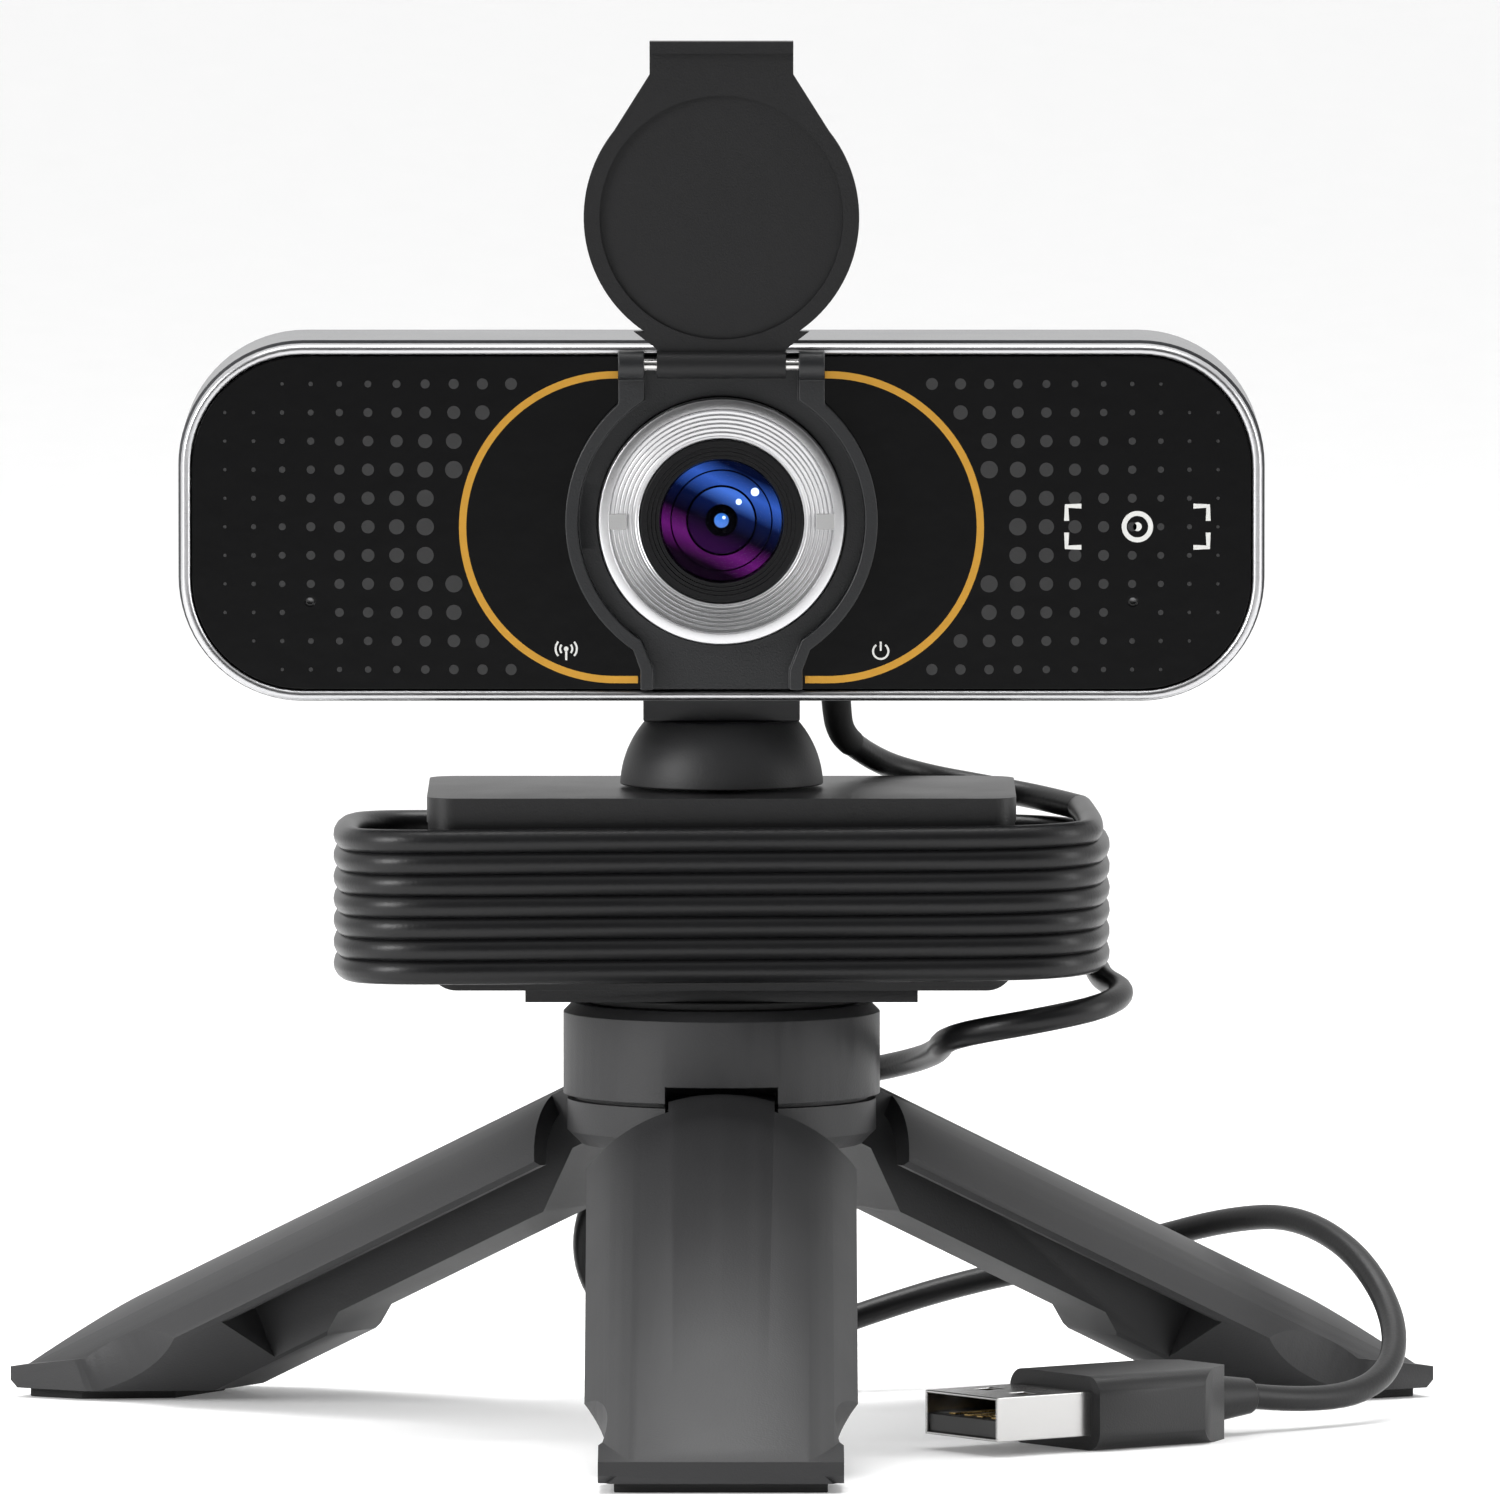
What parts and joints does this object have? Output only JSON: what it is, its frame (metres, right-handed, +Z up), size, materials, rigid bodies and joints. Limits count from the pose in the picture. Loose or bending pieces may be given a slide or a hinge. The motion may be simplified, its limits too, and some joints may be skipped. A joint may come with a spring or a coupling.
{
  "type": "webcam on folding tripod",
  "caption": "Wide desktop webcam with flip-up lens cover, tilting neck and folded screen clip, on a small three-legged folding tripod, its lead wound round the clip and ending in a plug.",
  "frame": {"origin": "centre of the rigid object's footprint, on the surface it stands on", "axes": "+Z up, +X to the right seen from in front of the lens, -Y the way the lens looks"},
  "size_m": [0.147, 0.1274, 0.1423],
  "materials": {
    "black_plastic": "fine-grained satin black moulded plastic",
    "grey_plastic": "fine-grained dark grey moulded plastic",
    "silver_metal": "brushed and clear-anodised",
    "gloss_black": "polished black acrylic with printed dots and ring",
    "shell_grey": "satin dark metallic paint",
    "coated_glass": "blue and violet anti-reflection coating",
    "steel": "bright turned steel",
    "plug_steel": "nickel-plated folded sheet",
    "brass": "turned brass",
    "rubber": "matt black rubber",
    "cord_pvc": "smooth satin black cable jacket",
    "board": "green lacquered board",
    "tongue_white": "white insulator"
  },
  "bodies": {
    "base": {"clip_foot": "black_plastic", "clip_leg": "black_plastic", "clip_lip_pad": "rubber", "clip_pins": "steel", "clip_plate": "black_plastic", "cord_coil": "cord_pvc", "cord_lead": "cord_pvc", "cord_tail": "cord_pvc", "head_pad": "rubber", "leg_pins": "steel", "plug_body": "black_plastic", "plug_contacts": "brass", "plug_relief": "cord_pvc", "plug_shell": "plug_steel", "plug_tongue": "tongue_white", "stud_bolt": "steel", "thread_insert": "brass", "tripod_head": "grey_plastic", "tripod_hub": "grey_plastic"},
    "neck": {"neck_block": "grey_plastic", "neck_dome": "grey_plastic", "swivel_screw": "steel", "swivel_washer": "steel"},
    "camera": {"rim_frame": "silver_metal", "front_panel": "gloss_black", "rear_shell": "shell_grey", "inner_frame": "black_plastic", "case_screws": "steel", "lens_bracket": "grey_plastic", "lens_ring": "silver_metal", "ring_tabs": "silver_metal", "lens_bezel": "gloss_black", "lens_front_glass": "coated_glass", "lens_barrel": "black_plastic", "lens_elements": "coated_glass", "lens_holder": "black_plastic", "main_board": "board", "image_sensor": "gloss_black", "ir_filter": "coated_glass", "video_chip": "black_plastic", "board_connector": "tongue_white", "board_screws": "steel", "microphones": "silver_metal", "power_led": "tongue_white", "cover_pin": "steel", "tilt_pin": "steel", "cable_gland": "rubber", "cord_boot": "cord_pvc"},
    "cover": {"privacy_cover": "black_plastic"},
    "front_leg": {"leg_front": "grey_plastic", "foot_pad_front": "rubber"},
    "left_leg": {"leg_left": "grey_plastic", "foot_pad_left": "rubber"},
    "right_leg": {"leg_right": "grey_plastic", "foot_pad_right": "rubber"}
  },
  "joints": [
    {"name": "head_pan", "type": "hinge", "parent": "base", "child": "neck", "pos_m": [0, 0.01412, 0.0652], "axis": [0, 0, 1], "range_deg": [-30, 30], "deforming": ["cord_lead"]},
    {"name": "head_tilt", "type": "hinge", "parent": "neck", "child": "camera", "pos_m": [0, 0.01412, 0.0791], "axis": [1, 0, 0], "range_deg": [-15, 15], "deforming": ["cord_boot"]},
    {"name": "cover_hinge", "type": "hinge", "parent": "camera", "child": "cover", "pos_m": [0, -0.00338, 0.1094], "axis": [1, 0, 0], "range_deg": [0, 180]},
    {"name": "front_leg_fold", "type": "hinge", "parent": "base", "child": "front_leg", "pos_m": [0, 0.00212, 0.032], "axis": [1, 0, 0], "range_deg": [0, 65]},
    {"name": "right_leg_fold", "type": "hinge", "parent": "base", "child": "right_leg", "pos_m": [0.01039, 0.02012, 0.032], "axis": [-0.5, 0.866, 0], "range_deg": [0, 65]},
    {"name": "left_leg_fold", "type": "hinge", "parent": "base", "child": "left_leg", "pos_m": [-0.01039, 0.02012, 0.032], "axis": [-0.5, -0.866, 0], "range_deg": [0, 65]}
  ]
}
